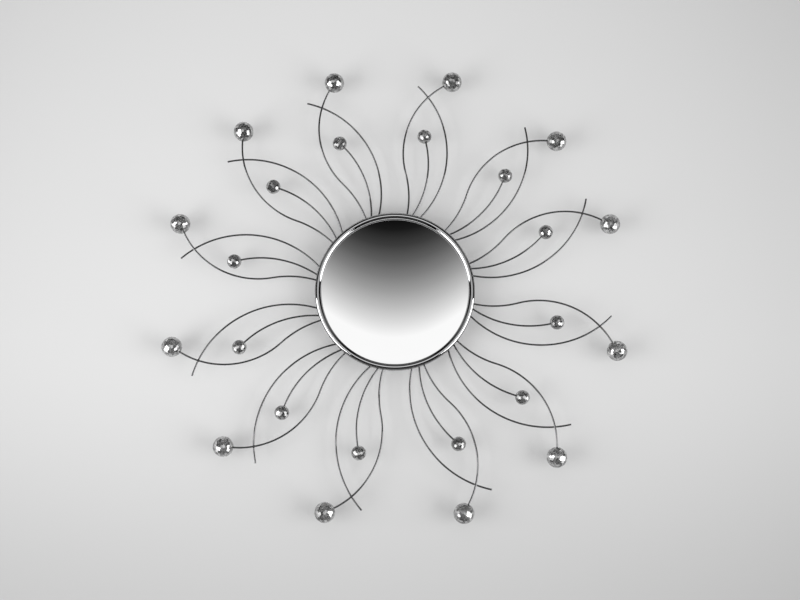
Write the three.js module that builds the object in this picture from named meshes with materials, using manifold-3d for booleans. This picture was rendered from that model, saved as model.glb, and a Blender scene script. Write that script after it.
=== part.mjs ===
// Girandole wall mirror: a bulged round glass in a polished bezel, ringed by twelve
// open petals of bent wire that carry cut-glass balls.
//
// Millimetres, +Z up. The origin is the point on the wall where the hanging screw
// bears in the keyhole; the mirror faces -Y. The parts are laid out as they are seen
// from the front, X to the right and Y up, with Z as the distance off the wall, and
// the finished layout is then stood up.
import * as THREE from "three";
import { ConvexGeometry } from "three/addons/geometries/ConvexGeometry.js";
import { mergeVertices } from "three/addons/utils/BufferGeometryUtils.js";
import Module from "manifold-3d";

const wasm = await Module();
wasm.setup();

// ---- driving dimensions -------------------------------------------------------
const seatGap = 0.3; // between pieces that touch

// bezel: a rolled rim with a half-round front and a straight outer skirt
const bezelOuterRadius = 134.2;
const bezelFaceWidth = 9.7;
const bezelSheet = 1.5;
const bezelLipDepth = 2;

// glass and board
const glassLipOverlap = 2.5; // of the glass behind the bezel's lip
const glassThickness = 3;
const glassBulge = 10;
const boardThickness = 6;
const boardClearance = 1;

// weld ring, and how far it stands off the wall
const rearStandoff = 10;
const weldRingWidth = 35.2;
const weldRingInset = 3; // its edge lies this far inside the bezel's outside
const weldRingThickness = 2;

// wires
const wireDiameter = 3;
const weldTail = 13; // straight root that laps the weld ring
const crossWeldBite = 0.4; // how far the two petal wires sink into each other
const petalPlane = 22; // distance off the wall where the petals level out

// petals, counted clockwise from the one right of the top
const petalCount = 12;
const firstPetalTurn = 12; // degrees clockwise from the top
const petalLean = [1, -1.5, 5, 0.5, -1, 4, -2.5, -2.5, 0, -3, -2, 2.5]; // bent by hand

// S wire: two bends, the first to the left, the second back to the right
const sRootOffset = -7.7; // sideways from the petal's axis, clockwise is positive
const sRootHeading = 1; // degrees clockwise from the petal's axis
const sFirstBendRadius = 163;
const sFirstBendAngle = 26.5;
const sSecondBendRadius = 138.5;
const sSecondBendAngle = 82;
const crossingToCrystal = 50; // along the S wire, to the middle of its ball

// C wire: one long bend to the left, through the crossing, to its bare end
const cRootOffset = 14.8;
const cBendRadius = 166.5;
const cFreeEnd = 27.5;

// stem: one bend to the left
const stemRootOffset = 1.1;
const stemRootHeading = 22.5;
const stemBendRadius = 167;
const stemBendAngle = 50.5;
const stemLean = [-0.5, -3, 0, -1, 2, 2, -0.5, -0.5, 2, 3.5, 1.5, -0.5]; // in its petal

// cut-glass balls
const largeCrystalDiameter = 35;
const smallCrystalDiameter = 25;
const crystalRows = 6;
const largeCrystalFacetsRound = 9;
const smallCrystalFacetsRound = 8;
const crystalSeatDepth = 6; // how far the wire goes into the ball
const crystalGlueGap = 0.4; // round the wire, inside the ball

// hanger bracket: a hat-shaped strip with a keyhole in its crown
const bracketSheet = 1.5;
const bracketHeight = 22;
const bracketInset = 1; // from the weld ring's inner edge
const bracketCrownHalfWidth = 18;
const bracketFootLength = 16;
const keyholeEntryRadius = 4.5;
const keyholeSlotRadius = 2.25;
const keyholeSlotLength = 8;

// screws and bumpers
const screwShankRadius = 1.75;
const screwHeadRadius = 3.6;
const screwHeadHeight = 2.2;
const screwBite = 4.5; // depth of thread in the board
const bumperRadius = 8;
const bumperEdgeRadius = 1.5;
const bumperInset = 17; // of its middle, from the weld ring's inner edge
const bumperTurn = 142; // degrees clockwise from the top, and the same the other way

// faceting
const bezelSides = 60;
const bezelOuterArcSteps = 5;
const bezelInnerArcSteps = 3;
const glassRings = 3;
const wireSides = 8;
const sWireSteps = 15;
const cWireSteps = 12;
const stemWireSteps = 8;
const crystalHoleSides = 6;
const holeSides = 8;
const bumperSides = 16;
const cutterOvershoot = 1; // past the faces of the piece that it cuts

// ---- places worked out from them ----------------------------------------------
const wireRadius = wireDiameter / 2;
const weldRingBack = rearStandoff;
const weldRingFront = weldRingBack + weldRingThickness;
const rootPlane = weldRingFront + seatGap + wireRadius;
const bezelBack = rootPlane + wireRadius + seatGap;
const boardBack = bezelBack;
const boardFront = boardBack + boardThickness;
const bezelInnerRadius = bezelOuterRadius - bezelFaceWidth;
const glassRadius = bezelInnerRadius + glassLipOverlap;
const glassRimBack = boardFront + seatGap;
const glassRimFront = glassRimBack + glassThickness;
const glassCurve = (glassRadius ** 2 + glassBulge ** 2) / (2 * glassBulge);
const bezelLipBack = glassFrontAt(bezelInnerRadius) + seatGap;
const bezelRoundCentre = bezelLipBack + bezelLipDepth;
const bezelRoundRadius = bezelFaceWidth / 2;
const weldRingOuterRadius = bezelOuterRadius - weldRingInset;
const weldRingInnerRadius = weldRingOuterRadius - weldRingWidth;
const boardRadius = bezelOuterRadius - bezelSheet - boardClearance;
const bracketFeetBack = rearStandoff - seatGap - bracketSheet;
const bracketCentreRadius = weldRingInnerRadius + bracketInset + bracketHeight / 2;
const bumperPitchRadius = weldRingInnerRadius + bumperInset;
const screwHoleRadius = screwShankRadius + seatGap;
const screwAcross = bracketCrownHalfWidth + bracketFootLength / 2;
const hangingPointHeight = bracketCentreRadius + keyholeSlotLength / 2;

// distance of the glass's front off the wall at a radius
function glassFrontAt(radius) {
  const sagitta = glassCurve - Math.sqrt(glassCurve ** 2 - radius ** 2);
  return glassRimFront + glassBulge - sagitta;
}

const radians = THREE.MathUtils.degToRad;

// ---- materials ----------------------------------------------------------------
const finish = (color, roughness, metalness) => () =>
  new THREE.MeshStandardMaterial({ color, roughness, metalness });
const chrome = finish(0xd4d4d6, 0.06, 1);
const silvering = finish(0xf0f0f0, 0.02, 1);
const cutGlass = finish(0xf2f4f5, 0.03, 0);
const board = finish(0x4a4038, 0.85, 0);
const zincSteel = finish(0xa9abad, 0.35, 1);
const rubber = finish(0x1c1c1c, 0.8, 0);

// ---- joining and cutting ------------------------------------------------------
function solid(geometry) {
  const bare = geometry.index ? geometry.toNonIndexed() : geometry.clone();
  bare.deleteAttribute("normal");
  bare.deleteAttribute("uv");
  const merged = mergeVertices(bare, 1e-4);
  return new wasm.Manifold(new wasm.Mesh({
    numProp: 3,
    vertProperties: new Float32Array(merged.attributes.position.array),
    triVerts: new Uint32Array(merged.index.array),
  }));
}

function geometryOf(manifold) {
  const mesh = manifold.getMesh();
  const geometry = new THREE.BufferGeometry();
  geometry.setAttribute("position", new THREE.BufferAttribute(mesh.vertProperties, 3));
  geometry.setIndex(new THREE.BufferAttribute(mesh.triVerts, 1));
  return geometry;
}

function named(name, geometry, material) {
  const mesh = new THREE.Mesh(geometry, material());
  mesh.name = name;
  return mesh;
}

const numbered = (word, index) => `${word}_${String(index + 1).padStart(2, "0")}`;

// a closed outline of [radius, height] points, turned about the Z axis
function turned(outline, sides) {
  const points = outline.map(([radius, height]) => new THREE.Vector2(radius, height));
  return new THREE.LatheGeometry(points, sides).rotateX(Math.PI / 2);
}

// a round bar standing along Z between two heights
function bar(radius, low, high, sides) {
  return new THREE.CylinderGeometry(radius, radius, high - low, sides)
    .rotateX(Math.PI / 2)
    .translate(0, 0, (low + high) / 2);
}

// ---- mirror: bezel, glass, board, weld ring -------------------------------------
function bezelGeometry() {
  const middle = bezelInnerRadius + bezelRoundRadius;
  const arc = (radius, from, to, steps) => Array.from({ length: steps + 1 }, (_, i) => {
    const angle = from + (to - from) * i / steps;
    return [middle + radius * Math.cos(angle), bezelRoundCentre + radius * Math.sin(angle)];
  });
  const outline = [
    [bezelOuterRadius, bezelBack],
    ...arc(bezelRoundRadius, 0, Math.PI, bezelOuterArcSteps),
    [bezelInnerRadius, bezelLipBack],
    [bezelInnerRadius + bezelSheet, bezelLipBack],
    ...arc(bezelRoundRadius - bezelSheet, Math.PI, 0, bezelInnerArcSteps),
    [bezelOuterRadius - bezelSheet, bezelBack],
    [bezelOuterRadius, bezelBack],
  ];
  return turned(outline, bezelSides);
}

function glassGeometry() {
  const radiusAt = (i) => glassRadius * i / glassRings;
  const rings = Array.from({ length: glassRings }, (_, i) => i + 1);
  const front = rings.map((i) => [radiusAt(i), glassFrontAt(radiusAt(i))]);
  const back = front.map(([radius, height]) => [radius, height - glassThickness]);
  const outline = [
    [0, glassFrontAt(0) - glassThickness],
    ...back,
    ...front.reverse(),
    [0, glassFrontAt(0)],
  ];
  return turned(outline, bezelSides);
}

// the four screws sit in pairs, above and below the middle
const screwPlaces = [
  [-screwAcross, bracketCentreRadius],
  [screwAcross, bracketCentreRadius],
  [-screwAcross, -bracketCentreRadius],
  [screwAcross, -bracketCentreRadius],
];

// takes screw clearance holes out of a piece, from below its back face up to a height
function drilled(piece, places, back, high) {
  return places.reduce((left, [x, y]) => {
    const low = back - cutterOvershoot;
    const hole = bar(screwHoleRadius, low, high, holeSides).translate(x, y, 0);
    return left.subtract(solid(hole));
  }, piece);
}

function boardGeometry() {
  const disc = solid(bar(boardRadius, boardBack, boardFront, bezelSides));
  const pilotBottom = boardBack + screwBite + seatGap;
  return geometryOf(drilled(disc, screwPlaces, boardBack, pilotBottom));
}

function weldRingGeometry() {
  const ring = solid(turned([
    [weldRingInnerRadius, weldRingBack],
    [weldRingOuterRadius, weldRingBack],
    [weldRingOuterRadius, weldRingFront],
    [weldRingInnerRadius, weldRingFront],
    [weldRingInnerRadius, weldRingBack],
  ], bezelSides));
  const high = weldRingFront + cutterOvershoot;
  return geometryOf(drilled(ring, screwPlaces, weldRingBack, high));
}

// ---- rear fittings: bracket, screws, bumpers ------------------------------------
function bracketGeometry() {
  const crown = bracketCrownHalfWidth;
  const reach = crown + bracketFootLength;
  const footFront = bracketFeetBack + bracketSheet;
  const half = [
    [reach, footFront],
    [crown - bracketSheet, footFront],
    [crown - bracketSheet, bracketSheet],
  ];
  const rear = [
    [crown, 0],
    [crown, bracketFeetBack],
    [reach, bracketFeetBack],
  ];
  const mirrored = (points) => points.map(([x, z]) => [-x, z]).reverse();
  const outline = [...half, ...mirrored(half), ...mirrored(rear), ...rear];
  const shape = new THREE.Shape(outline.map(([x, z]) => new THREE.Vector2(x, z)));
  const strip = new THREE.ExtrudeGeometry(shape, { depth: bracketHeight, bevelEnabled: false });
  strip.rotateX(Math.PI / 2).translate(0, bracketCentreRadius + bracketHeight / 2, 0);

  const slotTop = hangingPointHeight;
  const slotBottom = slotTop - keyholeSlotLength;
  const through = [-cutterOvershoot, bracketSheet + cutterOvershoot];
  const entry = bar(keyholeEntryRadius, ...through, 2 * holeSides).translate(0, slotBottom, 0);
  const end = bar(keyholeSlotRadius, ...through, holeSides).translate(0, slotTop, 0);
  const slotWidth = 2 * keyholeSlotRadius * Math.cos(Math.PI / holeSides);
  const slotDepth = bracketSheet + 2 * cutterOvershoot;
  const slot = new THREE.BoxGeometry(slotWidth, keyholeSlotLength, slotDepth);
  slot.translate(0, (slotTop + slotBottom) / 2, bracketSheet / 2);
  const keyhole = solid(entry).add(solid(end)).add(solid(slot));
  const upperPair = screwPlaces.slice(0, 2);
  const high = footFront + cutterOvershoot;
  const piece = drilled(solid(strip), upperPair, bracketFeetBack, high);
  return geometryOf(piece.subtract(keyhole));
}

// a pan-head screw whose head bears on a face at the given height
function screwGeometry(seat) {
  const tip = boardBack + screwBite;
  const headFront = seat - seatGap;
  const headBack = headFront - screwHeadHeight;
  return turned([
    [0, headBack],
    [screwHeadRadius * 0.7, headBack],
    [screwHeadRadius, headBack + screwHeadHeight / 2],
    [screwHeadRadius, headFront],
    [screwShankRadius, headFront],
    [screwShankRadius, tip - screwShankRadius],
    [0, tip],
  ], holeSides);
}

function bumperGeometry() {
  const front = rearStandoff - seatGap;
  return turned([
    [0, 0],
    [bumperRadius - bumperEdgeRadius, 0],
    [bumperRadius, bumperEdgeRadius],
    [bumperRadius, front],
    [0, front],
  ], bumperSides);
}

function atTurn(mesh, degrees, radius) {
  const angle = radians(degrees);
  mesh.position.set(radius * Math.sin(angle), radius * Math.cos(angle), 0);
  return mesh;
}

function mirrorBody() {
  const group = new THREE.Group();
  group.add(
    named("bezel_ring", bezelGeometry(), chrome),
    named("mirror_glass", glassGeometry(), silvering),
    named("backing_board", boardGeometry(), board),
    named("weld_ring", weldRingGeometry(), zincSteel),
    named("hanger_bracket", bracketGeometry(), zincSteel),
    atTurn(named("bumper_right", bumperGeometry(), rubber), bumperTurn, bumperPitchRadius),
    atTurn(named("bumper_left", bumperGeometry(), rubber), -bumperTurn, bumperPitchRadius),
  );
  screwPlaces.forEach(([x, y], i) => {
    const seat = y > 0 ? bracketFeetBack : weldRingBack;
    const screw = named(`screw_${i + 1}`, screwGeometry(seat), zincSteel);
    screw.position.set(x, y, 0);
    group.add(screw);
  });
  return group;
}

// ---- bent wires -----------------------------------------------------------------
// A wire as a bender makes it: a straight tail, then bends that follow each other
// without a kink. Headings are radians clockwise from +Y; side is 1 for a bend to
// the right and -1 for one to the left. Distance runs along the wire from its root
// at the bezel, so the tail is at negative distances.
class BentWire extends THREE.Curve {
  constructor({ offset, heading, bends, endAt, heightAt }) {
    super();
    Object.assign(this, { root: new THREE.Vector2(offset, 0), heading, bends, heightAt });
    this.endAt = endAt ?? bends.reduce((sum, bend) => sum + bend.radius * bend.angle, 0);
  }

  // place and heading at a distance from the root
  at(distance) {
    let { x, y } = this.root;
    let heading = this.heading;
    if (distance <= 0) {
      return { x: x + distance * Math.sin(heading), y: y + distance * Math.cos(heading), heading };
    }
    let left = distance;
    this.bends.forEach(({ radius, angle, side }, i) => {
      const last = i === this.bends.length - 1;
      const length = last ? left : Math.min(left, radius * angle);
      const next = heading + side * length / radius;
      x += side * radius * (Math.cos(heading) - Math.cos(next));
      y -= side * radius * (Math.sin(heading) - Math.sin(next));
      heading = next;
      left -= length;
    });
    return { x, y, heading };
  }

  getPoint(t, target = new THREE.Vector3()) {
    const distance = -weldTail + t * (weldTail + this.endAt);
    const { x, y } = this.at(distance);
    return target.set(x, y, this.heightAt(distance));
  }
}

// rises smoothly from the root plane to a height, reached at a distance from the root
const risingTo = (height, reach) => (distance) =>
  THREE.MathUtils.lerp(rootPlane, height, THREE.MathUtils.smoothstep(distance, 0, reach));

function wireGeometry(wire, steps) {
  const section = new THREE.Shape();
  for (let i = 0; i < wireSides; i += 1) {
    const angle = 2 * Math.PI * (i + 0.5) / wireSides;
    section[i ? "lineTo" : "moveTo"](wireRadius * Math.cos(angle), wireRadius * Math.sin(angle));
  }
  return new THREE.ExtrudeGeometry(section, { steps, extrudePath: wire, bevelEnabled: false });
}

// ---- cut-glass balls --------------------------------------------------------------
// Staggered rows of facet corners on a sphere, with a flat table at each end, and a
// blind hole from the rear table for the wire. The hole runs along -Y.
function crystalGeometry(diameter, facetsRound) {
  const corners = [];
  for (let row = 0; row < crystalRows; row += 1) {
    const polar = Math.PI * (row + 0.5) / crystalRows;
    for (let i = 0; i < facetsRound; i += 1) {
      const around = 2 * Math.PI * (i + row / 2) / facetsRound;
      corners.push(new THREE.Vector3().setFromSphericalCoords(diameter / 2, polar, around));
    }
  }
  const ball = solid(new ConvexGeometry(corners));
  const depth = crystalSeatDepth + crystalGlueGap;
  const radius = (wireRadius + crystalGlueGap) / Math.cos(Math.PI / crystalHoleSides);
  const hole = new THREE.CylinderGeometry(radius, radius, 2 * depth, crystalHoleSides);
  hole.translate(0, -diameter / 2, 0);
  return geometryOf(ball.subtract(solid(hole)));
}

// sets a ball on the end of its wire, in line with the wire at the middle of the hole
function crystalOn(wire, diameter, facetsRound, name) {
  const crystal = named(name, crystalGeometry(diameter, facetsRound), cutGlass);
  const seat = wire.at(wire.endAt - crystalSeatDepth / 2);
  const reach = (diameter - crystalSeatDepth) / 2;
  const x = seat.x + reach * Math.sin(seat.heading);
  const y = seat.y + reach * Math.cos(seat.heading);
  crystal.position.set(x, y, wire.heightAt(wire.endAt));
  crystal.rotation.z = -seat.heading;
  return crystal;
}

// ---- one petal ----------------------------------------------------------------------
const bend = (radius, degrees, side) => ({ radius, angle: radians(degrees), side });
const lengthOf = (bends) => bends.reduce((sum, { radius, angle }) => sum + radius * angle, 0);
const crossingLift = (wireDiameter - crossWeldBite) / 2;

function sWire() {
  const bends = [
    bend(sFirstBendRadius, sFirstBendAngle, -1),
    bend(sSecondBendRadius, sSecondBendAngle, 1),
  ];
  const toCrystal = lengthOf(bends);
  return new BentWire({
    offset: sRootOffset,
    heading: radians(sRootHeading),
    bends,
    endAt: toCrystal - largeCrystalDiameter / 2 + crystalSeatDepth,
    heightAt: risingTo(petalPlane + crossingLift, toCrystal - crossingToCrystal),
  });
}

// The C wire's heading follows from its radius and the point where it crosses the S wire.
function cWire(crossing) {
  const across = crossing.x - cRootOffset;
  const halfChord = Math.hypot(across, crossing.y) / 2;
  const halfSweep = Math.asin(halfChord / cBendRadius);
  const toCrossing = 2 * halfSweep * cBendRadius;
  return new BentWire({
    offset: cRootOffset,
    heading: Math.atan2(across, crossing.y) + halfSweep,
    bends: [{ radius: cBendRadius, angle: 2 * halfSweep, side: -1 }],
    endAt: toCrossing + cFreeEnd,
    heightAt: risingTo(petalPlane - crossingLift, toCrossing),
  });
}

function stemWire(lean) {
  const bends = [bend(stemBendRadius, stemBendAngle, -1)];
  const toCrystal = lengthOf(bends);
  return new BentWire({
    offset: stemRootOffset,
    heading: radians(stemRootHeading - lean),
    bends,
    endAt: toCrystal - smallCrystalDiameter / 2 + crystalSeatDepth,
    heightAt: risingTo(petalPlane, toCrystal - smallCrystalDiameter / 2),
  });
}

function petal(index) {
  const s = sWire();
  const sToCrossing = s.endAt + largeCrystalDiameter / 2 - crystalSeatDepth - crossingToCrystal;
  const c = cWire(s.at(sToCrossing));
  const stem = stemWire(stemLean[index % stemLean.length]);
  const weldment = solid(wireGeometry(s, sWireSteps)).add(solid(wireGeometry(c, cWireSteps)));

  const flower = new THREE.Group();
  flower.add(
    named(numbered("petal", index), geometryOf(weldment), chrome),
    named(numbered("stem", index), wireGeometry(stem, stemWireSteps), chrome),
    crystalOn(s, largeCrystalDiameter, largeCrystalFacetsRound, numbered("crystal_large", index)),
    crystalOn(stem, smallCrystalDiameter, smallCrystalFacetsRound,
      numbered("crystal_small", index)),
  );
  flower.position.y = bezelOuterRadius;
  flower.rotation.z = radians(petalLean[index % petalLean.length]);

  const place = new THREE.Group();
  place.add(flower);
  place.rotation.z = -radians(firstPetalTurn + index * 360 / petalCount);
  return place;
}

// ---- assembly -------------------------------------------------------------------
const layout = new THREE.Group();
layout.add(mirrorBody());
for (let index = 0; index < petalCount; index += 1) {
  layout.add(petal(index));
}
layout.position.z = -hangingPointHeight;
layout.rotation.x = Math.PI / 2;

const mirror = new THREE.Group();
mirror.add(layout);

export default mirror;
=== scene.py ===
import math
import random

import bmesh
import bpy
from mathutils import Matrix, Vector


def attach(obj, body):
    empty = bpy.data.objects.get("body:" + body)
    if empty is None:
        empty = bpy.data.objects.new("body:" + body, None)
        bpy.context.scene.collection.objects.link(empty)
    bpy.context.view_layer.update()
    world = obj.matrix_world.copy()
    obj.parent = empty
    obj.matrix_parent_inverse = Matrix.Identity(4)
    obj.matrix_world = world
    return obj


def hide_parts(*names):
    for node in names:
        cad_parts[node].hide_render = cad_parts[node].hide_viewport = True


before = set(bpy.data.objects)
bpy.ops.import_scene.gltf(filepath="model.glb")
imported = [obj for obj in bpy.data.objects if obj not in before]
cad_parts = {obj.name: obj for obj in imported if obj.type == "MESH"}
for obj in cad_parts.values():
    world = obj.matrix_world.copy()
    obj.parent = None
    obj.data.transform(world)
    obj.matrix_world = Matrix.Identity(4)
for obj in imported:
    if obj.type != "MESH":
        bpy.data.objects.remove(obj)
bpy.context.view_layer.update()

# ---- camera -------------------------------------------------------------------
# The photograph looks at the mirror from 1.9 m in front and 0.36 m below its middle,
# level across, with the frame shifted slightly.
mirror_centre = Vector((0.0, -0.0238, -0.112))
camera = bpy.data.objects.new("camera", bpy.data.cameras.new("camera"))
camera.data.lens = 51.2
camera.data.sensor_width = 36.0
camera.data.shift_x = 0.0063
camera.data.shift_y = -0.0114
camera.location = (-0.004, -1.903, -0.475)
camera.rotation_euler = (mirror_centre - camera.location).to_track_quat("-Z", "Y").to_euler()
bpy.context.scene.collection.objects.link(camera)
bpy.context.scene.camera = camera
bpy.context.scene.view_settings.view_transform = "Standard"

# ---- wall ---------------------------------------------------------------------
# A plain pale wall that the mirror hangs on. It is see-through from behind, so that the
# fittings on the back can be looked at. Its colour is painted darker to the right, low
# down and away from the mirror: painted shade for the fall-off of the light.
wall_size = 3.0
wall_gap = 0.0004
wall_middle = 0.777
painted_shade_low = 0.586
low_height, middle_height = -0.72, -0.17
wall_reach = 0.65
left_share, right_share = 1.07, 0.93
painted_falloff_spread = (0.57, 0.0, 0.43)
painted_falloff_least = 0.78
bm = bmesh.new()
bmesh.ops.create_grid(bm, x_segments=1, y_segments=1, size=wall_size)
bmesh.ops.rotate(bm, verts=bm.verts, matrix=Matrix.Rotation(math.pi / 2, 3, "X"))
bmesh.ops.translate(bm, verts=bm.verts, vec=(0, wall_gap, 0))
wall = bpy.data.objects.new("wall", bpy.data.meshes.new("wall"))
bm.to_mesh(wall.data)
bm.free()
bpy.context.scene.collection.objects.link(wall)

paint = bpy.data.materials.new("wall_paint")
paint.use_nodes = True
nodes, links = paint.node_tree.nodes, paint.node_tree.links
surface = nodes["Principled BSDF"]
surface.inputs["Roughness"].default_value = 0.9
surface.inputs["Specular IOR Level"].default_value = 0.1
# Painted shade: the colour darkens low down, to the right and away from the mirror, where the
# light falls off.
spot = nodes.new("ShaderNodeTexCoord")
split = nodes.new("ShaderNodeSeparateXYZ")
links.new(spot.outputs["Object"], split.inputs[0])
down = nodes.new("ShaderNodeMapRange")
down.interpolation_type = "SMOOTHSTEP"
down.inputs["From Min"].default_value = low_height
down.inputs["From Max"].default_value = middle_height
down.inputs["To Min"].default_value = painted_shade_low
down.inputs["To Max"].default_value = wall_middle
links.new(split.outputs["Z"], down.inputs["Value"])
across = nodes.new("ShaderNodeMapRange")
across.inputs["From Min"].default_value = -wall_reach
across.inputs["From Max"].default_value = wall_reach
across.inputs["To Min"].default_value = left_share
across.inputs["To Max"].default_value = right_share
links.new(split.outputs["X"], across.inputs["Value"])
away = nodes.new("ShaderNodeVectorMath")
away.operation = "SUBTRACT"
away.inputs[1].default_value = mirror_centre
links.new(spot.outputs["Object"], away.inputs[0])
stretched = nodes.new("ShaderNodeVectorMath")
stretched.operation = "MULTIPLY"
stretched.inputs[1].default_value = painted_falloff_spread
links.new(away.outputs["Vector"], stretched.inputs[0])
squared = nodes.new("ShaderNodeVectorMath")
squared.operation = "DOT_PRODUCT"
links.new(stretched.outputs["Vector"], squared.inputs[0])
links.new(stretched.outputs["Vector"], squared.inputs[1])
fade = nodes.new("ShaderNodeMath")
fade.operation = "SUBTRACT"
fade.inputs[0].default_value = 1.0
links.new(squared.outputs["Value"], fade.inputs[1])
far = nodes.new("ShaderNodeMath")
far.operation = "MAXIMUM"
far.inputs[1].default_value = painted_falloff_least
links.new(fade.outputs[0], far.inputs[0])
shaded = nodes.new("ShaderNodeMath")
shaded.operation = "MULTIPLY"
links.new(down.outputs["Result"], shaded.inputs[0])
links.new(across.outputs["Result"], shaded.inputs[1])
tone = nodes.new("ShaderNodeMath")
tone.operation = "MULTIPLY"
links.new(shaded.outputs[0], tone.inputs[0])
links.new(far.outputs[0], tone.inputs[1])
links.new(tone.outputs[0], surface.inputs["Base Color"])
side = nodes.new("ShaderNodeNewGeometry")
path = nodes.new("ShaderNodeLightPath")
hidden = nodes.new("ShaderNodeMath")
hidden.operation = "MAXIMUM"
links.new(side.outputs["Backfacing"], hidden.inputs[0])
links.new(path.outputs["Is Shadow Ray"], hidden.inputs[1])
through = nodes.new("ShaderNodeBsdfTransparent")
either = nodes.new("ShaderNodeMixShader")
links.new(hidden.outputs[0], either.inputs["Fac"])
links.new(surface.outputs["BSDF"], either.inputs[1])
links.new(through.outputs["BSDF"], either.inputs[2])
links.new(either.outputs["Shader"], nodes["Material Output"].inputs["Surface"])
wall.data.materials.append(paint)

# ---- softboxes ----------------------------------------------------------------
# Two large soft lamps, left and right of the camera and a little below the mirror's
# middle. They give the bright patches in the metal and the balls' pairs of soft shadows.
softbox_distance = 3.0
softbox_width = 2.6
softbox_height = 2.5
softbox_turn = math.radians(68)
softbox_rise = math.radians(-18)
softbox_brightness = 3.2
for name, turn in (("softbox_left", -softbox_turn), ("softbox_right", softbox_turn)):
    softbox = bpy.data.objects.new(name, bpy.data.lights.new(name, "AREA"))
    softbox.data.shape = "RECTANGLE"
    softbox.data.size = softbox_width
    softbox.data.size_y = softbox_height
    softbox.data.energy = softbox_brightness * math.pi * softbox_width * softbox_height
    aim = Vector((
        math.sin(turn) * math.cos(softbox_rise),
        -math.cos(turn) * math.cos(softbox_rise),
        math.sin(softbox_rise),
    ))
    softbox.location = mirror_centre + softbox_distance * aim
    softbox.rotation_euler = aim.to_track_quat("Z", "Y").to_euler()
    softbox.visible_camera = False
    bpy.context.scene.collection.objects.link(softbox)

# A third lamp stands behind the wall, whose paint lets its light through, and lights the
# fittings on the back evenly.
back_lamp_size = 3.0
back_lamp_distance = 2.0
back_lamp_brightness = 1.6
back_lamp = bpy.data.objects.new("back_lamp", bpy.data.lights.new("back_lamp", "AREA"))
back_lamp.data.size = back_lamp_size
back_lamp.data.energy = back_lamp_brightness * math.pi * back_lamp_size ** 2
back_lamp.location = mirror_centre + Vector((0, back_lamp_distance, 0))
back_lamp.rotation_euler = Vector((0, 1, 0)).to_track_quat("Z", "X").to_euler()
back_lamp.visible_camera = False
bpy.context.scene.collection.objects.link(back_lamp)

# ---- room round the mirror ------------------------------------------------------
# What the mirror, the metal and the glass reflect: bright low down in front, darker
# towards the floor, the ceiling and the sides. Matt surfaces get plain even light
# instead, and the camera itself sees plain grey.
even_light = 0.60
backdrop_grey = 0.70
room_curve = 1.25
room_lowest, room_highest = -0.5, 1.0
room_floor, floor_level = 0.03, -0.35
room_bright, bright_level = 0.97, -0.17
room_ceiling, ceiling_level = 0.10, 0.85
room_side_dark = 0.12
side_from, side_to = 0.11, 0.25
# Above the bright band the light fades to black by steps that look even to the eye.
fade_from, fade_to = -0.05, 0.56
fade_steps = 8
eye_gamma = 2.2
room_levels = [
    (room_lowest, room_floor), (floor_level, room_floor), (bright_level, room_bright)]
for step in range(fade_steps + 1):
    part = step / fade_steps
    room_levels.append(
        (fade_from + (fade_to - fade_from) * part, room_bright * (1 - part) ** eye_gamma))
room_levels.append((ceiling_level, room_ceiling))
room = bpy.data.worlds.new("room")
bpy.context.scene.world = room
room.use_nodes = True
nodes, links = room.node_tree.nodes, room.node_tree.links
direction = nodes.new("ShaderNodeTexCoord")
split = nodes.new("ShaderNodeSeparateXYZ")
links.new(direction.outputs["Generated"], split.inputs[0])
squared = nodes.new("ShaderNodeMath")
squared.operation = "MULTIPLY"
links.new(split.outputs["X"], squared.inputs[0])
links.new(split.outputs["X"], squared.inputs[1])
height = nodes.new("ShaderNodeMath")
height.operation = "MULTIPLY_ADD"
height.inputs[1].default_value = -room_curve
links.new(squared.outputs[0], height.inputs[0])
links.new(split.outputs["Z"], height.inputs[2])
scaled = nodes.new("ShaderNodeMapRange")
scaled.inputs["From Min"].default_value = room_lowest
scaled.inputs["From Max"].default_value = room_highest
links.new(height.outputs[0], scaled.inputs["Value"])
ramp = nodes.new("ShaderNodeValToRGB")
links.new(scaled.outputs["Result"], ramp.inputs["Fac"])
while len(ramp.color_ramp.elements) < len(room_levels):
    ramp.color_ramp.elements.new(0.5)
for element, (level, brightness) in zip(ramp.color_ramp.elements, room_levels):
    element.position = (level - room_lowest) / (room_highest - room_lowest)
    element.color = (brightness, brightness, brightness, 1)
sides = nodes.new("ShaderNodeMapRange")
sides.interpolation_type = "SMOOTHSTEP"
sides.inputs["From Min"].default_value = side_from
sides.inputs["From Max"].default_value = side_to
sides.inputs["To Min"].default_value = 1.0
sides.inputs["To Max"].default_value = room_side_dark
links.new(squared.outputs[0], sides.inputs["Value"])
dimmed = nodes.new("ShaderNodeMix")
dimmed.data_type = "RGBA"
dimmed.inputs[6].default_value = (0, 0, 0, 1)
links.new(sides.outputs["Result"], dimmed.inputs["Factor"])
links.new(ramp.outputs["Color"], dimmed.inputs[7])
path = nodes.new("ShaderNodeLightPath")
mirrored = nodes.new("ShaderNodeMath")
mirrored.operation = "MAXIMUM"
links.new(path.outputs["Is Glossy Ray"], mirrored.inputs[0])
links.new(path.outputs["Is Transmission Ray"], mirrored.inputs[1])
lighting = nodes.new("ShaderNodeMix")
lighting.data_type = "RGBA"
lighting.inputs[6].default_value = (even_light, even_light, even_light, 1)
links.new(mirrored.outputs[0], lighting.inputs["Factor"])
links.new(dimmed.outputs[2], lighting.inputs[7])
seen = nodes.new("ShaderNodeMix")
seen.data_type = "RGBA"
seen.inputs[7].default_value = (backdrop_grey, backdrop_grey, backdrop_grey, 1)
links.new(path.outputs["Is Camera Ray"], seen.inputs["Factor"])
links.new(lighting.outputs[2], seen.inputs[6])
links.new(seen.outputs[2], nodes["Background"].inputs["Color"])

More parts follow.
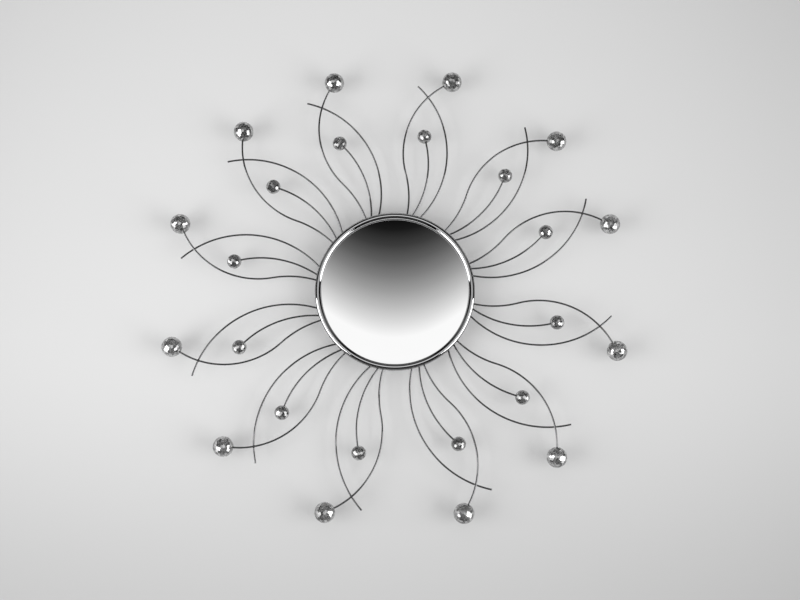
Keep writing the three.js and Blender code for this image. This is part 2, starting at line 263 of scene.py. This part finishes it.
# ---- bezel --------------------------------------------------------------------
# The polished ring round the glass: 1.5 mm sheet, spun to a half-round face with a
# straight skirt outside and a short lip that holds the glass. Sizes are millimetres,
# laid out as seen from the front with Z off the wall; hung() stands a piece up.
bezel_outer = 134.2
bezel_inner = 124.5
bezel_back = 15.6
bezel_crest_centre = 27.6
bezel_lip = 2.0
bezel_sheet = 1.5
bezel_arc_steps, bezel_turn_steps = 28, 240
stood_up = Matrix((
    (0.001, 0, 0, 0),
    (0, 0, -0.001, 0),
    (0, 0.001, 0, mirror_centre.z),
    (0, 0, 0, 1),
))


cloud_detail, fine_detail = 4.0, 2.0
fine_scale_times = 9.0


def polish_marks():
    """A cloudy tone, a roughness that wanders round a value, and a faint unevenness."""
    group = bpy.data.node_groups.new("polish_marks", "ShaderNodeTree")
    sockets = group.interface
    for name, value in (("Roughness", 0.1), ("Spread", 0.05), ("Scale", 40.0)):
        socket = sockets.new_socket(name, in_out="INPUT", socket_type="NodeSocketFloat")
        socket.default_value = value
    for name in ("Tone", "Roughness", "Height"):
        sockets.new_socket(name, in_out="OUTPUT", socket_type="NodeSocketFloat")
    nodes, links = group.nodes, group.links
    given = nodes.new("NodeGroupInput")
    made = nodes.new("NodeGroupOutput")
    place = nodes.new("ShaderNodeTexCoord")
    cloud = nodes.new("ShaderNodeTexNoise")
    cloud.inputs["Detail"].default_value = cloud_detail
    links.new(place.outputs["Object"], cloud.inputs["Vector"])
    links.new(given.outputs["Scale"], cloud.inputs["Scale"])
    fine = nodes.new("ShaderNodeTexNoise")
    fine.inputs["Detail"].default_value = fine_detail
    finer = nodes.new("ShaderNodeMath")
    finer.operation = "MULTIPLY"
    finer.inputs[1].default_value = fine_scale_times
    links.new(given.outputs["Scale"], finer.inputs[0])
    links.new(place.outputs["Object"], fine.inputs["Vector"])
    links.new(finer.outputs[0], fine.inputs["Scale"])
    centred = nodes.new("ShaderNodeMath")
    centred.operation = "SUBTRACT"
    centred.inputs[1].default_value = 0.5
    links.new(cloud.outputs["Fac"], centred.inputs[0])
    wander = nodes.new("ShaderNodeMath")
    wander.operation = "MULTIPLY_ADD"
    wander.use_clamp = True
    links.new(centred.outputs[0], wander.inputs[0])
    links.new(given.outputs["Spread"], wander.inputs[1])
    links.new(given.outputs["Roughness"], wander.inputs[2])
    links.new(cloud.outputs["Fac"], made.inputs["Tone"])
    links.new(wander.outputs[0], made.inputs["Roughness"])
    links.new(fine.outputs["Fac"], made.inputs["Height"])
    return group


polish = polish_marks()


def finish_from_marks(name, dark, light, roughness, spread, scale, relief, metal=0.0):
    """A finish whose tone, gloss and faint relief wander as the polish_marks group says."""
    material = bpy.data.materials.new(name)
    material.use_nodes = True
    nodes, links = material.node_tree.nodes, material.node_tree.links
    shader = nodes["Principled BSDF"]
    shader.inputs["Metallic"].default_value = metal
    marks = nodes.new("ShaderNodeGroup")
    marks.node_tree = polish
    marks.inputs["Roughness"].default_value = roughness
    marks.inputs["Spread"].default_value = spread
    marks.inputs["Scale"].default_value = scale
    tones = nodes.new("ShaderNodeMix")
    tones.name = "tones"
    tones.data_type = "RGBA"
    tones.inputs[6].default_value = (*dark, 1)
    tones.inputs[7].default_value = (*light, 1)
    links.new(marks.outputs["Tone"], tones.inputs["Factor"])
    links.new(tones.outputs[2], shader.inputs["Base Color"])
    links.new(marks.outputs["Roughness"], shader.inputs["Roughness"])
    bump = nodes.new("ShaderNodeBump")
    bump.inputs["Distance"].default_value = relief
    links.new(marks.outputs["Height"], bump.inputs["Height"])
    links.new(bump.outputs["Normal"], shader.inputs["Normal"])
    return material


def hung(bm, name, materials, nodes, crease=35):
    """Makes the bench piece in bm an object on the wall, smooth but for its creases."""
    bmesh.ops.transform(bm, verts=bm.verts, matrix=stood_up)
    for face in bm.faces:
        face.smooth = True
    for edge in bm.edges:
        if edge.is_manifold and edge.calc_face_angle() > math.radians(crease):
            edge.smooth = False
    piece = bpy.data.objects.new(name, bpy.data.meshes.new(name))
    bm.to_mesh(piece.data)
    bm.free()
    for material in materials:
        piece.data.materials.append(material)
    bpy.context.scene.collection.objects.link(piece)
    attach(piece, "root")
    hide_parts(*nodes)


def spun(bm, outline, steps):
    """Spins an outline a full turn about the mirror's axis and closes the seam."""
    bmesh.ops.spin(
        bm, geom=outline, cent=(0, 0, 0), axis=(0, 0, 1), dvec=(0, 0, 0),
        angle=2 * math.pi, space=Matrix(), steps=steps, use_merge=True,
        use_normal_flip=False, use_duplicate=False,
    )
    bmesh.ops.remove_doubles(bm, verts=bm.verts, dist=0.001)
    bmesh.ops.recalc_face_normals(bm, faces=bm.faces)


chrome = finish_from_marks(
    "bezel_chrome", (0.80, 0.80, 0.81), (0.90, 0.90, 0.91), 0.035, 0.03, 30.0, 0.000004, 1.0)

# The outer shoulder and the skirt are painted nearly black in the metal's colour: painted
# shade for the dark edge the ring shows beside the wall.
painted_shade_from = 132.2
painted_shade_full = 133.4
painted_shade_tone = 0.10
nodes, links = chrome.node_tree.nodes, chrome.node_tree.links
shader = nodes["Principled BSDF"]
spot = nodes.new("ShaderNodeTexCoord")
flat = nodes.new("ShaderNodeMapping")
flat.inputs["Location"].default_value = (0, 0, -mirror_centre.z)
flat.inputs["Scale"].default_value = (1, 0, 1)
links.new(spot.outputs["Object"], flat.inputs["Vector"])
reach = nodes.new("ShaderNodeVectorMath")
reach.operation = "LENGTH"
links.new(flat.outputs["Vector"], reach.inputs[0])
painted_shade_band = nodes.new("ShaderNodeMapRange")
painted_shade_band.interpolation_type = "SMOOTHSTEP"
painted_shade_band.inputs["From Min"].default_value = painted_shade_from / 1000
painted_shade_band.inputs["From Max"].default_value = painted_shade_full / 1000
links.new(reach.outputs["Value"], painted_shade_band.inputs["Value"])
faced = nodes.new("ShaderNodeMix")
faced.data_type = "RGBA"
faced.inputs[7].default_value = (painted_shade_tone, painted_shade_tone, painted_shade_tone, 1)
links.new(painted_shade_band.outputs["Result"], faced.inputs["Factor"])
links.new(nodes["tones"].outputs[2], faced.inputs[6])
links.new(faced.outputs[2], shader.inputs["Base Color"])

bezel_crest = (bezel_outer + bezel_inner) / 2
bm = bmesh.new()
shoulder = bmesh.ops.create_vert(bm, co=(bezel_outer, 0, bezel_crest_centre))["vert"]
arc = bmesh.ops.spin(
    bm, geom=shoulder, cent=(bezel_crest, 0, bezel_crest_centre), axis=(0, -1, 0),
    dvec=(0, 0, 0), angle=math.pi, space=Matrix(), steps=bezel_arc_steps,
    use_merge=False, use_normal_flip=False, use_duplicate=False,
)
lip = bmesh.ops.extrude_vert_indiv(bm, verts=arc["geom_last"])["verts"]
bmesh.ops.translate(bm, verts=lip, vec=(0, 0, -bezel_lip))
skirt = bmesh.ops.extrude_vert_indiv(bm, verts=shoulder)["verts"]
bmesh.ops.translate(bm, verts=skirt, vec=(0, 0, bezel_back - bezel_crest_centre))
spun(bm, bm.verts[:] + bm.edges[:], bezel_turn_steps)
bmesh.ops.solidify(bm, geom=bm.faces, thickness=bezel_sheet)
hung(bm, "bezel", [chrome], ["bezel_ring"])

# ---- mirror glass ---------------------------------------------------------------
# A round of 3 mm glass, 254 mm across, slumped to a shallow bulge of 10 mm and
# silvered. Its rim sits behind the bezel's lip.
glass_radius = 127.0
glass_thickness = 3.0
glass_bulge = 10.0
glass_rim_front = 24.9
glass_arc_steps, glass_turn_steps = 32, 192
glass_curve = (glass_radius ** 2 + glass_bulge ** 2) / (2 * glass_bulge)

silver = finish_from_marks(
    "mirror_silvering", (0.97, 0.97, 0.97), (1.0, 1.0, 1.0), 0.004, 0.006, 12.0, 0.0, 1.0)
bm = bmesh.new()
rim = bmesh.ops.create_vert(bm, co=(glass_radius, 0, glass_rim_front))["vert"]
bmesh.ops.spin(
    bm, geom=rim, cent=(0, 0, glass_rim_front + glass_bulge - glass_curve), axis=(0, -1, 0),
    dvec=(0, 0, 0), angle=math.asin(glass_radius / glass_curve), space=Matrix(),
    steps=glass_arc_steps,
    use_merge=False, use_normal_flip=False, use_duplicate=False,
)
spun(bm, bm.verts[:] + bm.edges[:], glass_turn_steps)
bmesh.ops.solidify(bm, geom=bm.faces, thickness=glass_thickness)
hung(bm, "glass", [silver], ["mirror_glass"])

# ---- backing board --------------------------------------------------------------
# A 6 mm disc of fibreboard behind the glass, inside the bezel's skirt. The four
# screws that hold the weld ring bite into its back.
board_radius = 131.7
board_back = 15.6
board_thickness = 6.0
board_edge = 0.4
board_sides = 160

fibreboard = finish_from_marks(
    "fibreboard", (0.13, 0.085, 0.05), (0.24, 0.165, 0.105), 0.85, 0.15, 320.0, 0.0002)


def disc(bm, radius, low, thickness, segments, edge):
    """A flat round with its back at a height, and its edges broken by a small bevel."""
    made = bmesh.ops.create_circle(
        bm, cap_ends=True, segments=segments, radius=radius,
        matrix=Matrix.Translation((0, 0, low)))
    base = made["verts"][0].link_faces[:]
    raised = bmesh.ops.extrude_face_region(bm, geom=base, use_keep_orig=True)
    top = [item for item in raised["geom"] if isinstance(item, bmesh.types.BMVert)]
    bmesh.ops.translate(bm, verts=top, vec=(0, 0, thickness))
    bmesh.ops.recalc_face_normals(bm, faces=bm.faces)
    rims = [rim for face in bm.faces if len(face.verts) == segments for rim in face.edges]
    bmesh.ops.bevel(
        bm, geom=rims, offset=edge, offset_type="OFFSET", segments=3,
        affect="EDGES", profile=0.5, material=-1)


bm = bmesh.new()
disc(bm, board_radius, board_back, board_thickness, board_sides, board_edge)
hung(bm, "board", [fibreboard], ["backing_board"])

# ---- petals -------------------------------------------------------------------------
# Each petal is two 3 mm chromed wires, bent by hand and spot-welded where they cross.
# The S wire bends left and then right to its ball; the C wire bends once to the left,
# passes behind the S wire and ends bare.
wire_diameter = 3.0
weld_tail = 13.0
root_plane = 13.8
petal_plane = 22.0
weld_bite = 0.4
crossing_lift = (wire_diameter - weld_bite) / 2
petal_count = 12
first_petal_turn = 12.0
petal_lean = (1, -1.5, 5, 0.5, -1, 4, -2.5, -2.5, 0, -3, -2, 2.5)
large_ball = 35.0
ball_seat = 6.0
s_bends = ((163.0, math.radians(26.5), -1), (138.5, math.radians(82), 1))
s_root, s_heading = -7.7, math.radians(1)
crossing_to_ball = 50.0
c_root, c_radius, c_free_end = 14.8, 166.5, 27.5
wire_sides = 16
wire_station = 4.0
wire_end_round = 0.6
nugget_radius = 2.3
nugget_height = 0.9
nugget_sides, nugget_rings = 16, 8

wire_chrome = finish_from_marks(
    "wire_chrome", (0.19, 0.19, 0.195), (0.27, 0.27, 0.275), 0.06, 0.06, 60.0, 0.000006, 1.0)


def along(offset, heading, bends, distance):
    """Place and heading at a distance from a wire's root, through its bends."""
    x, y = offset, 0.0
    if distance <= 0:
        return x + distance * math.sin(heading), y + distance * math.cos(heading), heading
    for number, (radius, angle, side) in enumerate(bends):
        last = number == len(bends) - 1
        length = distance if last else min(distance, radius * angle)
        turned = heading + side * length / radius
        x += side * radius * (math.cos(heading) - math.cos(turned))
        y -= side * radius * (math.sin(heading) - math.sin(turned))
        heading, distance = turned, distance - length
    return x, y, heading


def run_of(bends):
    """Length of the wire in its bends."""
    return sum(radius * angle for radius, angle, side in bends)


def rise(distance, reach, plane):
    """Height off the wall at a distance from the root, eased up to the petals' plane."""
    part = min(max(distance / reach, 0.0), 1.0)
    return root_plane + (plane - root_plane) * part * part * (3 - 2 * part)


def draw_wire(bm, offset, heading, bends, end, plane, reach):
    """Feeds a wire out from its tail, station by station, and files its ends round."""
    stops = math.ceil((weld_tail + end) / wire_station)
    distances = [-weld_tail + (weld_tail + end) * stop / stops for stop in range(stops + 1)]
    x, y, facing = along(offset, heading, bends, distances[0])
    place = (
        Matrix.Translation((x, y, rise(distances[0], reach, plane)))
        @ Matrix.Rotation(-facing, 4, "Z")
        @ Matrix.Rotation(-math.pi / 2, 4, "X")
    )
    ring = bmesh.ops.create_circle(
        bm, cap_ends=True, segments=wire_sides, radius=wire_diameter / 2, matrix=place)["verts"]
    edges = list({edge for vert in ring for edge in vert.link_edges})
    rims = edges[:]
    was = Vector((x, y, rise(distances[0], reach, plane)))
    for distance in distances[1:]:
        x, y, turned = along(offset, heading, bends, distance)
        now = Vector((x, y, rise(distance, reach, plane)))
        grown = bmesh.ops.extrude_edge_only(bm, edges=edges)["geom"]
        ring = [item for item in grown if isinstance(item, bmesh.types.BMVert)]
        new = set(ring)
        edges = [
            item for item in grown
            if isinstance(item, bmesh.types.BMEdge) and new.issuperset(item.verts)
        ]
        bmesh.ops.translate(bm, verts=ring, vec=now - was)
        bmesh.ops.rotate(
            bm, verts=ring, cent=now, matrix=Matrix.Rotation(facing - turned, 3, "Z"))
        was, facing = now, turned
    bmesh.ops.edgeloop_fill(bm, edges=edges)
    bmesh.ops.bevel(
        bm, geom=rims + edges, offset=wire_end_round, offset_type="OFFSET", segments=3,
        affect="EDGES", profile=0.5, material=-1)


def petal_place(number):
    """Where a petal's own axis stands on the bench, with its lean."""
    turn = math.radians(first_petal_turn + number * 360 / petal_count)
    return (
        Matrix.Rotation(-turn, 4, "Z")
        @ Matrix.Translation((0, bezel_outer, 0))
        @ Matrix.Rotation(math.radians(petal_lean[number]), 4, "Z")
    )


def nugget(bm, place):
    """A low bead of weld metal, squeezed out where two pieces were pressed together."""
    bead = place @ Matrix.Diagonal((1, 1, nugget_height / nugget_radius, 1))
    bmesh.ops.create_uvsphere(
        bm, u_segments=nugget_sides, v_segments=nugget_rings, radius=nugget_radius, matrix=bead)


s_run = run_of(s_bends)
crossing_x, crossing_y, _ = along(s_root, s_heading, s_bends, s_run - crossing_to_ball)
c_half_sweep = math.asin(math.hypot(crossing_x - c_root, crossing_y) / 2 / c_radius)
c_heading = math.atan2(crossing_x - c_root, crossing_y) + c_half_sweep
c_to_crossing = 2 * c_half_sweep * c_radius
c_bends = ((c_radius, 2 * c_half_sweep, -1),)
for number in range(petal_count):
    bm = bmesh.new()
    draw_wire(bm, s_root, s_heading, s_bends, s_run - large_ball / 2 + ball_seat,
              petal_plane + crossing_lift, s_run - crossing_to_ball)
    draw_wire(bm, c_root, c_heading, c_bends, c_to_crossing + c_free_end,
              petal_plane - crossing_lift, c_to_crossing)
    nugget(bm, Matrix.Translation((crossing_x, crossing_y, petal_plane)))
    bmesh.ops.recalc_face_normals(bm, faces=bm.faces)
    bmesh.ops.transform(bm, verts=bm.verts, matrix=petal_place(number))
    hung(bm, f"petal_wires_{number + 1:02d}", [wire_chrome],
         [f"petal_{number + 1:02d}"])

# ---- stems --------------------------------------------------------------------------
# Inside each petal a third wire bends once to the left and carries the small ball.
stem_root, stem_heading = 1.1, math.radians(22.5)
stem_lean = (-0.5, -3, 0, -1, 2, 2, -0.5, -0.5, 2, 3.5, 1.5, -0.5)
stem_bends = ((167.0, math.radians(50.5), -1),)
small_ball = 25.0
stem_run = run_of(stem_bends)
for number in range(petal_count):
    bm = bmesh.new()
    heading = stem_heading - math.radians(stem_lean[number])
    draw_wire(bm, stem_root, heading, stem_bends, stem_run - small_ball / 2 + ball_seat,
              petal_plane, stem_run - small_ball / 2)
    bmesh.ops.recalc_face_normals(bm, faces=bm.faces)
    bmesh.ops.transform(bm, verts=bm.verts, matrix=petal_place(number))
    hung(bm, f"stem_wire_{number + 1:02d}", [wire_chrome],
         [f"stem_{number + 1:02d}"])

# ---- weld ring --------------------------------------------------------------------
# A flat ring of 2 mm zinc-plated steel behind the bezel, drilled for four screws. The 36
# wires lap its front and are spot-welded to it, and each weld's electrode has left a
# round dent in its back.
weld_ring_inner = 96.0
weld_ring_outer = 131.2
weld_ring_back = 10.0
weld_ring_thickness = 2.0
weld_ring_edge = 0.3
dent_radius = 1.9
dent_depth = 0.3
dent_slope = 1.0
weld_place = -8.0
screw_hole_radius = 2.05
screw_across, screw_up = 26.0, 108.0
screw_places = [(x, y) for y in (screw_up, -screw_up) for x in (-screw_across, screw_across)]
cutter_length = 6.0
dent_sides, hole_sides, keyhole_sides = 20, 24, 48
ring_turn_steps = 160
square_corner = math.radians(60)
fitting_crease = 20


def chain(bm, points):
    """A chain of edges through points given as [distance across, height]."""
    knots = [
        bmesh.ops.create_vert(bm, co=(across, 0, height))["vert"][0]
        for across, height in points
    ]
    return knots + [bm.edges.new(pair) for pair in zip(knots, knots[1:])]


def broken(bm, offset, least, steps=2):
    """Rounds every edge that turns by more than the least angle, as a file or a die does."""
    sharp = [edge for edge in bm.edges if edge.is_manifold and edge.calc_face_angle() > least]
    bmesh.ops.bevel(
        bm, geom=sharp, offset=offset, offset_type="OFFSET", segments=steps,
        affect="EDGES", profile=0.5, material=-1)


def cut_out(bm, cutter):
    """Takes the cutter's shape out of a piece."""
    held = []
    for shape in (bm, cutter):
        mesh = bpy.data.meshes.new("bench")
        shape.to_mesh(mesh)
        held.append(bpy.data.objects.new("bench", mesh))
        bpy.context.scene.collection.objects.link(held[-1])
    cut = held[0].modifiers.new("cut", "BOOLEAN")
    cut.object = held[1]
    left = bpy.data.meshes.new_from_object(
        held[0].evaluated_get(bpy.context.evaluated_depsgraph_get()))
    bm.clear()
    bm.from_mesh(left)
    cutter.free()
    bpy.data.meshes.remove(left)
    for item in held:
        mesh = item.data
        bpy.data.objects.remove(item)
        bpy.data.meshes.remove(mesh)


def add_drill(cutter, radius, length, place, sides=hole_sides):
    """Adds a round cutter, its middle at a place."""
    bmesh.ops.create_cone(
        cutter, cap_ends=True, segments=sides, radius1=radius, radius2=radius,
        depth=length, matrix=Matrix.Translation(place))


zinc = finish_from_marks(
    "zinc_plate", (0.42, 0.43, 0.45), (0.66, 0.67, 0.69), 0.34, 0.22, 90.0, 0.00003, 1.0)
bm = bmesh.new()
weld_ring_front = weld_ring_back + weld_ring_thickness
outline = chain(bm, [
    (weld_ring_inner, weld_ring_back),
    (weld_ring_outer, weld_ring_back),
    (weld_ring_outer, weld_ring_front),
    (weld_ring_inner, weld_ring_front),
    (weld_ring_inner, weld_ring_back),
])
spun(bm, outline, ring_turn_steps)
broken(bm, weld_ring_edge, square_corner)
tools = bmesh.new()
for number in range(petal_count):
    for offset, heading in (
        (s_root, s_heading),
        (c_root, c_heading),
        (stem_root, stem_heading - math.radians(stem_lean[number])),
    ):
        x, y, _ = along(offset, heading, (), weld_place)
        bmesh.ops.create_cone(
            tools, cap_ends=True, segments=dent_sides,
            radius1=dent_radius + dent_slope * dent_depth,
            radius2=dent_radius - dent_slope * dent_depth, depth=2 * dent_depth,
            matrix=petal_place(number) @ Matrix.Translation((x, y, weld_ring_back)))
for x, y in screw_places:
    add_drill(tools, screw_hole_radius, cutter_length, (x, y, weld_ring_back))
cut_out(bm, tools)
hung(bm, "weld_ring_plate", [zinc], ["weld_ring"], crease=fitting_crease)

# ---- hanger bracket -----------------------------------------------------------------
# A strip of zinc-plated steel bent to a hat shape, screwed on at the top. The keyhole
# in its crown drops over a screw in the wall.
bracket_sheet = 1.5
bracket_height = 22.0
bracket_middle = screw_up
bracket_feet_back = 8.2
bracket_crown = 18.0
bracket_foot = 16.0
bracket_bend = 1.8
bend_corner = math.radians(80)
bracket_edge = 0.2
keyhole_entry = 4.5
keyhole_slot = 2.25
keyhole_length = 8.0

bm = bmesh.new()
strip = chain(bm, [
    (-bracket_crown - bracket_foot, bracket_feet_back),
    (-bracket_crown, bracket_feet_back),
    (-bracket_crown, 0),
    (bracket_crown, 0),
    (bracket_crown, bracket_feet_back),
    (bracket_crown + bracket_foot, bracket_feet_back),
])
bmesh.ops.translate(bm, verts=bm.verts, vec=(0, bracket_middle - bracket_height / 2, 0))
edges = [item for item in strip if isinstance(item, bmesh.types.BMEdge)]
grown = bmesh.ops.extrude_edge_only(bm, edges=edges)["geom"]
new = [item for item in grown if isinstance(item, bmesh.types.BMVert)]
bmesh.ops.translate(bm, verts=new, vec=(0, bracket_height, 0))
bmesh.ops.recalc_face_normals(bm, faces=bm.faces)
crown = min(bm.faces, key=lambda face: face.calc_center_median().z)
if crown.normal.z > 0:
    bmesh.ops.reverse_faces(bm, faces=bm.faces)
broken(bm, bracket_bend, bend_corner, steps=5)
bmesh.ops.solidify(bm, geom=bm.faces, thickness=bracket_sheet)
broken(bm, bracket_edge, square_corner)
keyhole_top = bracket_middle + keyhole_length / 2
keyhole_bottom = bracket_middle - keyhole_length / 2
for radius, height in ((keyhole_entry, keyhole_bottom), (keyhole_slot, keyhole_top)):
    drill = bmesh.new()
    add_drill(drill, radius, cutter_length, (0, height, 0), keyhole_sides)
    cut_out(bm, drill)
slot = bmesh.new()
bmesh.ops.create_cube(slot, size=1, matrix=(
    Matrix.Translation((0, bracket_middle, 0))
    @ Matrix.Diagonal((2 * keyhole_slot, keyhole_length, cutter_length, 1))))
cut_out(bm, slot)
drill = bmesh.new()
for x, y in screw_places[:2]:
    add_drill(drill, screw_hole_radius, cutter_length, (x, y, bracket_feet_back))
cut_out(bm, drill)
hung(bm, "bracket", [zinc], ["hanger_bracket"], crease=fitting_crease)

# ---- screws -----------------------------------------------------------------------
# Four short pan-head screws with cross recesses, of bright zinc-plated steel. The upper
# pair hold the bracket as well as the ring.
head_radius = 3.6
head_crown = 2.6
head_height = 2.2
head_side = 0.9
head_round = 0.45
shank_radius = 1.75
shank_tip = 20.1
seat_gap = 0.3
recess_length = 3.8
recess_width = 0.9
recess_depth = 1.1
head_corner = math.radians(30)
screw_turn_steps = 40
first_screw_turn, next_screw_turn = 17, 31

bright_zinc = finish_from_marks(
    "bright_zinc", (0.62, 0.62, 0.60), (0.80, 0.80, 0.78), 0.22, 0.12, 200.0, 0.00002, 1.0)
for number, (x, y) in enumerate(screw_places):
    seat = (bracket_feet_back if y > 0 else weld_ring_back) - seat_gap
    back = seat - head_height
    bm = bmesh.new()
    outline = chain(bm, [
        (0, back),
        (head_crown, back),
        (head_radius, seat - head_side),
        (head_radius, seat),
        (shank_radius, seat),
        (shank_radius, shank_tip - shank_radius),
        (0, shank_tip),
    ])
    spun(bm, outline, screw_turn_steps)
    broken(bm, head_round, head_corner, steps=4)
    for turn in (0, math.pi / 2):
        blade = bmesh.new()
        bmesh.ops.create_cube(blade, size=1, matrix=(
            Matrix.Translation((0, 0, back)) @ Matrix.Rotation(turn, 4, "Z")
            @ Matrix.Diagonal((recess_length, recess_width, 2 * recess_depth, 1))))
        cut_out(bm, blade)
    tightened = math.radians(first_screw_turn + next_screw_turn * number)
    bmesh.ops.rotate(bm, verts=bm.verts, matrix=Matrix.Rotation(tightened, 3, "Z"))
    bmesh.ops.translate(bm, verts=bm.verts, vec=(x, y, 0))
    hung(bm, f"pan_screw_{number + 1}", [bright_zinc], [f"screw_{number + 1}"])

# ---- bumpers ------------------------------------------------------------------------
# Two moulded rubber buffers low on the ring keep the mirror level with the bracket, off
# the wall. They are glued on, and a shallow dish is moulded in the face of each.
bumper_radius = 8.0
bumper_front = 9.7
bumper_round = 1.2
bumper_ring_radius = 113.0
bumper_turn = math.radians(142)
dish_radius = 4.0
dish_depth = 0.6
bumper_turn_steps = 64

rubber = finish_from_marks(
    "black_rubber", (0.012, 0.012, 0.012), (0.03, 0.03, 0.03), 0.75, 0.2, 400.0, 0.00004)
for side, turn in (("left", -bumper_turn), ("right", bumper_turn)):
    bm = bmesh.new()
    outline = chain(bm, [
        (0, dish_depth),
        (dish_radius - dish_depth, dish_depth),
        (dish_radius, 0),
        (bumper_radius, 0),
        (bumper_radius, bumper_front),
        (0, bumper_front),
    ])
    spun(bm, outline, bumper_turn_steps)
    broken(bm, bumper_round, square_corner, steps=5)
    bmesh.ops.translate(bm, verts=bm.verts, vec=(
        bumper_ring_radius * math.sin(turn), bumper_ring_radius * math.cos(turn), 0))
    hung(bm, f"buffer_{side}", [rubber], [f"bumper_{side}"])

# ---- cut-glass balls ------------------------------------------------------------------
# Lead crystal with a thin half-silver coat, ground with rows of flat facets and
# polished. Each is drilled part of the way and glued on the end of its wire.
large_rows, large_round = 14, 21
small_rows, small_round = 11, 16
facet_depth = 0.955
drill_radius = 1.9
drill_depth = 6.4
blank_share = 1.03
coat_thick, coat_thin = 0.18, 0.93
facet_crease = 1
wear_seed = 12
wear = random.Random(wear_seed)

crystal = bpy.data.materials.new("cut_glass")
crystal.use_nodes = True
nodes, links = crystal.node_tree.nodes, crystal.node_tree.links
shader = nodes["Principled BSDF"]
shader.inputs["Transmission Weight"].default_value = 1.0
shader.inputs["Metallic"].default_value = 0.5
shader.inputs["IOR"].default_value = 1.8
marks = nodes.new("ShaderNodeGroup")
marks.node_tree = polish
marks.inputs["Roughness"].default_value = 0.0
marks.inputs["Spread"].default_value = 0.01
marks.inputs["Scale"].default_value = 60.0
coat = nodes.new("ShaderNodeAttribute")
coat.attribute_name = "facet_coat"
tones = nodes.new("ShaderNodeMix")
tones.data_type = "RGBA"
tones.inputs[6].default_value = (coat_thick, coat_thick, coat_thick, 1)
tones.inputs[7].default_value = (coat_thin, coat_thin, coat_thin, 1)
links.new(coat.outputs["Fac"], tones.inputs["Factor"])
links.new(tones.outputs[2], shader.inputs["Base Color"])
links.new(marks.outputs["Roughness"], shader.inputs["Roughness"])


def cut_ball(diameter, rows, facets_round):
    """Grinds a ball facet by facet, and gives each facet its own tone of the coat."""
    bm = bmesh.new()
    bmesh.ops.create_icosphere(bm, subdivisions=3, radius=diameter / 2 * blank_share)
    step = math.pi / rows
    depth = diameter / 2 * facet_depth
    normals = [Vector((0, 0, 1)), Vector((0, 0, -1))]
    for row in range(1, rows):
        polar = step * row
        count = max(3, round(facets_round * math.sin(polar)))
        for facet in range(count):
            around = 2 * math.pi * (facet + row / 2) / count
            normals.append(Vector((
                math.sin(polar) * math.cos(around),
                math.sin(polar) * math.sin(around),
                math.cos(polar),
            )))
    for normal in normals:
        cut = bmesh.ops.bisect_plane(
            bm, geom=bm.verts[:] + bm.edges[:] + bm.faces[:], dist=0.0005,
            plane_co=normal * depth, plane_no=normal, clear_outer=True)
        rim = [item for item in cut["geom_cut"] if isinstance(item, bmesh.types.BMEdge)]
        if rim:
            bmesh.ops.edgeloop_fill(bm, edges=rim)
    bmesh.ops.remove_doubles(bm, verts=bm.verts, dist=0.002)
    bmesh.ops.recalc_face_normals(bm, faces=bm.faces)
    drill = bmesh.new()
    add_drill(drill, drill_radius, 2 * drill_depth, (0, 0, diameter / 2))
    cut_out(bm, drill)
    coat = bm.loops.layers.float_color.new("facet_coat")
    for face in bm.faces:
        kept = wear.random()
        for corner in face.loops:
            corner[coat] = (kept, kept, kept, 1)
    bmesh.ops.rotate(bm, verts=bm.verts, matrix=Matrix.Rotation(math.pi / 2, 3, "X"))
    return bm


def set_ball(ball, wire, plane, diameter, number, name, node):
    """Glues a copy of a ball on a wire's end, in line with the middle of its seat."""
    offset, heading, bends, end = wire
    x, y, facing = along(offset, heading, bends, end - ball_seat / 2)
    reach = (diameter - ball_seat) / 2
    bm = ball.copy()
    bmesh.ops.transform(bm, verts=bm.verts, matrix=(
        petal_place(number)
        @ Matrix.Translation((x + reach * math.sin(facing), y + reach * math.cos(facing), plane))
        @ Matrix.Rotation(-facing, 4, "Z")
    ))
    hung(bm, name, [crystal], [node], crease=facet_crease)


large = cut_ball(large_ball, large_rows, large_round)
small = cut_ball(small_ball, small_rows, small_round)
s_wire = (s_root, s_heading, s_bends, s_run - large_ball / 2 + ball_seat)
for number in range(petal_count):
    heading = stem_heading - math.radians(stem_lean[number])
    stem_wire = (stem_root, heading, stem_bends, stem_run - small_ball / 2 + ball_seat)
    set_ball(large, s_wire, petal_plane + crossing_lift, large_ball, number,
             f"large_ball_{number + 1:02d}", f"crystal_large_{number + 1:02d}")
    set_ball(small, stem_wire, petal_plane, small_ball, number,
             f"small_ball_{number + 1:02d}", f"crystal_small_{number + 1:02d}")
large.free()
small.free()
